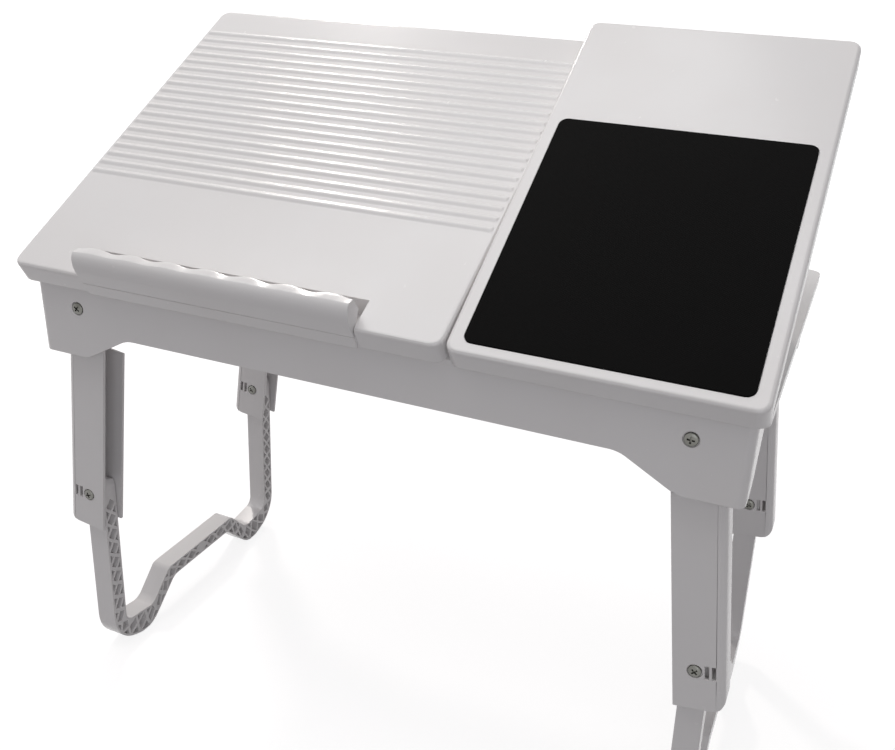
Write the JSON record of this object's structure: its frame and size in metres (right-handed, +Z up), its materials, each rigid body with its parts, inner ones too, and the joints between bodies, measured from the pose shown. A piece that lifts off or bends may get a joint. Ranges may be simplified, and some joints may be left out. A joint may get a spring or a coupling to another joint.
{
  "type": "folding laptop table",
  "caption": "Folding table of white plastic with a ridged laptop board and a mouse board that tilt on their own, a fold-back laptop stop and legs that fold inwards.",
  "frame": {"origin": "centre of the outer box at floor level, both boards tilted and the legs open", "axes": "+X along the width to the mouse board's side, +Y from the front edge to the back, +Z up from the floor"},
  "size_m": [0.5374, 0.326, 0.532],
  "materials": {
    "white_plastic": "moulded gloss",
    "black_pad": "matt woven face on foam",
    "bright_steel": "zinc plated",
    "zinc_wire": "drawn wire, plated"
  },
  "bodies": {
    "base": {"base_tray": "white_plastic", "left_leg_axle": "bright_steel", "right_leg_axle": "bright_steel", "left_board_inner_hinge_pin": "bright_steel", "left_board_outer_hinge_pin": "bright_steel", "left_front_axle_screw": "bright_steel", "left_rear_axle_screw": "bright_steel", "right_board_inner_hinge_pin": "bright_steel", "right_board_outer_hinge_pin": "bright_steel", "right_front_axle_screw": "bright_steel", "right_rear_axle_screw": "bright_steel"},
    "left_board": {"left_board": "white_plastic", "stop_left_pin": "bright_steel", "stop_right_pin": "bright_steel"},
    "laptop_stop": {"laptop_stop": "white_plastic"},
    "left_prop": {"left_prop": "zinc_wire"},
    "right_board": {"right_board": "white_plastic", "mouse_pad": "black_pad"},
    "right_prop": {"right_prop": "zinc_wire"},
    "left_uprights": {"left_front_knee_nut": "bright_steel", "left_front_knee_screw": "bright_steel", "left_front_upright": "white_plastic", "left_rear_knee_nut": "bright_steel", "left_rear_knee_screw": "bright_steel", "left_rear_upright": "white_plastic"},
    "left_lower_leg": {"left_lower_leg": "white_plastic"},
    "right_uprights": {"right_front_knee_nut": "bright_steel", "right_front_knee_screw": "bright_steel", "right_front_upright": "white_plastic", "right_rear_knee_nut": "bright_steel", "right_rear_knee_screw": "bright_steel", "right_rear_upright": "white_plastic"},
    "right_lower_leg": {"right_lower_leg": "white_plastic"}
  },
  "joints": [
    {"name": "left_board_tilt", "type": "hinge", "parent": "base", "child": "left_board", "pos_m": [-0.09725, -0.13904, 0.35486], "axis": [1, 0, 0], "range_deg": [-29.86, 6.14]},
    {"name": "left_prop_swing", "type": "hinge", "parent": "left_board", "child": "left_prop", "pos_m": [-0.09725, -0.0263, 0.41959], "axis": [1, 0, 0], "range_deg": [-12.38, 59.82]},
    {"name": "right_board_tilt", "type": "hinge", "parent": "base", "child": "right_board", "pos_m": [0.1685, -0.13904, 0.35486], "axis": [1, 0, 0], "range_deg": [-33.29, 2.71]},
    {"name": "right_prop_swing", "type": "hinge", "parent": "right_board", "child": "right_prop", "pos_m": [0.1685, -0.03037, 0.42622], "axis": [1, 0, 0], "range_deg": [-5.52, 66.68]},
    {"name": "laptop_stop_fold", "type": "hinge", "parent": "left_board", "child": "laptop_stop", "pos_m": [-0.096, -0.15412, 0.36004], "axis": [-1, 0, 0], "range_deg": [0, 90]},
    {"name": "left_leg_fold", "type": "hinge", "parent": "base", "child": "left_uprights", "pos_m": [-0.2235, -0.00344, 0.32916], "axis": [0, -1, 0], "range_deg": [0, 95.8]},
    {"name": "left_knee_fold", "type": "hinge", "parent": "left_uprights", "child": "left_lower_leg", "pos_m": [-0.24622, -0.00344, 0.1618], "axis": [0, -1, 0], "range_deg": [0, 173.7]},
    {"name": "right_leg_fold", "type": "hinge", "parent": "base", "child": "right_uprights", "pos_m": [0.2235, -0.00344, 0.32916], "axis": [0, 1, 0], "range_deg": [0, 95.8]},
    {"name": "right_knee_fold", "type": "hinge", "parent": "right_uprights", "child": "right_lower_leg", "pos_m": [0.24622, -0.00344, 0.1618], "axis": [0, 1, 0], "range_deg": [0, 173.7]}
  ],
  "couplings": [
    {"joint": "left_prop_swing", "follows": "left_board_tilt", "ratio": -2},
    {"joint": "right_prop_swing", "follows": "right_board_tilt", "ratio": -2}
  ]
}
